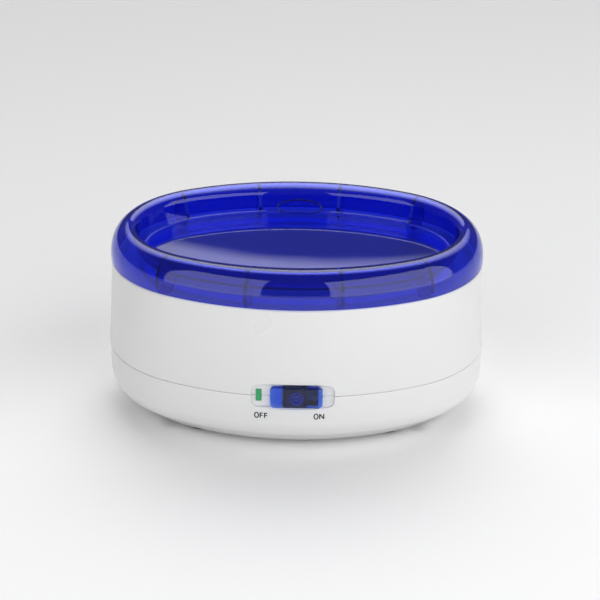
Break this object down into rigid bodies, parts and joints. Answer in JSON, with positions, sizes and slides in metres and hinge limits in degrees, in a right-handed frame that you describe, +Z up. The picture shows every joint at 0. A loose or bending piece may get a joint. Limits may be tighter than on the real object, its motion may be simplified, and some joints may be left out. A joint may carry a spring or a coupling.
{
  "type": "ultrasonic cleaner",
  "caption": "Oval household ultrasonic cleaner for jewellery, with a white body, a steel basin, a sunken clear blue lid and a sliding power switch.",
  "frame": {"origin": "on the surface it stands on, under the centre of the oval body", "axes": "+Z up; +X along the body's length; the switch faces -Y and the mains inlet faces +Y"},
  "size_m": [0.205, 0.155, 0.1025],
  "materials": {
    "white_abs": "glossy moulded",
    "stainless": "deep-drawn, satin",
    "white_silicone": "matt",
    "ceramic": "silvered ceramic",
    "epoxy": "cured adhesive",
    "board_laminate": "laminate",
    "zinc_steel": "zinc plated",
    "ferrite": "sintered",
    "copper_wire": "enamelled copper",
    "choke_powder": "painted powder core",
    "capacitor_sleeve": "shrink sleeve",
    "film_red": "dipped",
    "black_plastic": "moulded",
    "heatsink_alu": "extruded",
    "fuse_glass": "clear glass tube",
    "connector_nylon": "moulded",
    "pin_brass": "nickel-plated brass",
    "lead_brown": "insulated wire",
    "lead_red": "insulated wire",
    "lead_blue": "insulated wire",
    "lead_green": "insulated wire",
    "green_lens": "translucent",
    "label_silver": "blank foil label",
    "foot_rubber": "matt",
    "blue_knob": "tinted transparent",
    "blue_lid": "tinted transparent"
  },
  "bodies": {
    "housing": {"base_shell": "white_abs", "upper_housing": "white_abs", "tank": "stainless", "tank_gasket": "white_silicone", "transducer_disc": "ceramic", "transducer_bond": "epoxy", "driver_board": "board_laminate", "board_screws": "zinc_steel", "transformer_core": "ferrite", "transformer_winding": "copper_wire", "choke_core": "choke_powder", "choke_winding": "copper_wire", "bulk_capacitor": "capacitor_sleeve", "film_capacitors": "film_red", "bridge_rectifier": "black_plastic", "heatsink": "heatsink_alu", "power_transistors": "black_plastic", "fuse": "fuse_glass", "fuse_clips": "zinc_steel", "board_connectors": "connector_nylon", "power_inlet": "black_plastic", "inlet_pins": "pin_brass", "mains_leads": "lead_brown", "transducer_leads": "lead_red", "switch_leads": "lead_blue", "led_leads": "lead_green", "slide_switch": "zinc_steel", "switch_bracket": "white_abs", "bracket_screws": "zinc_steel", "led_lens": "green_lens", "housing_screws": "zinc_steel", "rating_label": "label_silver", "foot_front_left": "foot_rubber", "foot_front_right": "foot_rubber", "foot_back_left": "foot_rubber", "foot_back_right": "foot_rubber"},
    "switch_slider": {"switch_knob": "blue_knob", "switch_carriage": "black_plastic"},
    "lid": {"lid": "blue_lid"}
  },
  "joints": [
    {"name": "lid_lift", "type": "slide", "parent": "housing", "child": "lid", "axis": [0, 0, 1], "range_m": [0, 0.06]},
    {"name": "switch_slide", "type": "slide", "parent": "housing", "child": "switch_slider", "axis": [1, 0, 0], "range_m": [0, 0.0055]}
  ]
}
